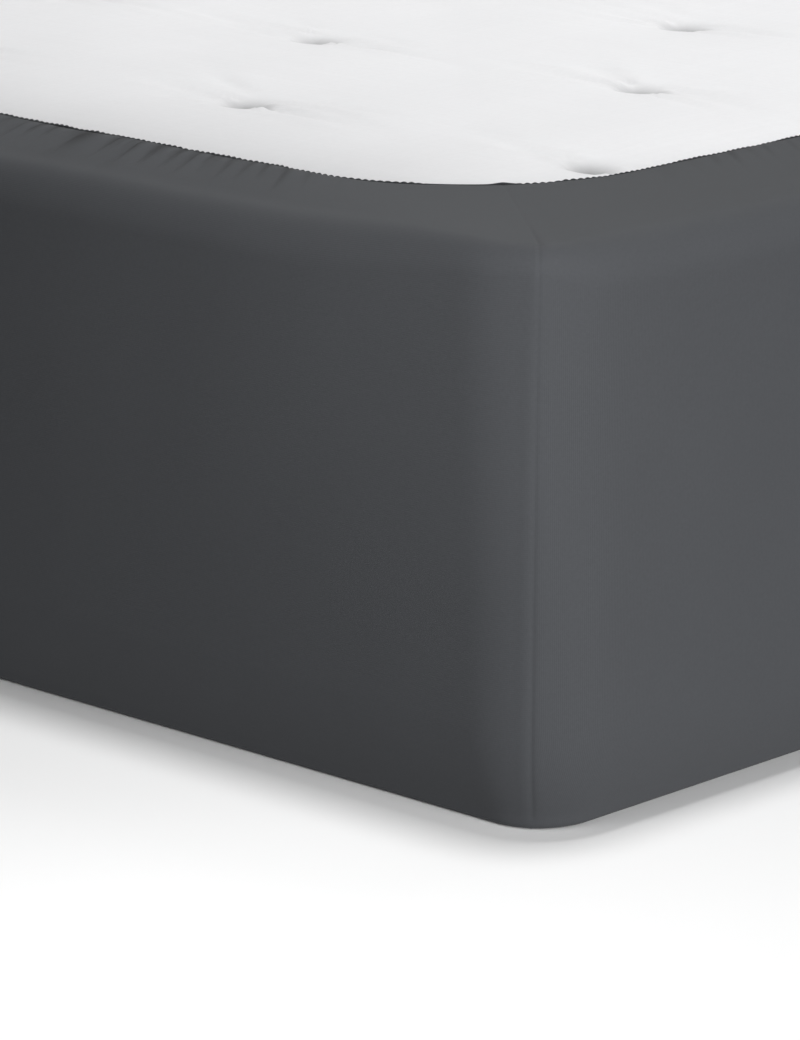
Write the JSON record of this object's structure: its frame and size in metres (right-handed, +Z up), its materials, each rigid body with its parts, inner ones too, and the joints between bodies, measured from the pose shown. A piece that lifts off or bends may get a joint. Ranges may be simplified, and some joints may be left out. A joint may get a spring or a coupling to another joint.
{
  "type": "jersey fitted sheet on a mattress",
  "caption": "Dark jersey fitted sheet stretched round a mattress that lies face down, its gathered elastic opening turned over the tufted base.",
  "frame": {"origin": "centre of the sheet's sleeping face, on the floor that it rests on", "axes": "+X along the mattress, +Y across it, +Z up to the open side of the sheet"},
  "size_m": [1.907, 0.907, 0.2574],
  "materials": {
    "jersey": "dark grey knitted jersey, matt with a faint sheen",
    "elastic": "dark grey overlocked elastic edge, matt",
    "ticking": "white woven mattress cover, matt"
  },
  "bodies": {
    "root": {"sheet": "jersey", "elastic_edge": "elastic", "mattress": "ticking"}
  },
  "joints": []
}
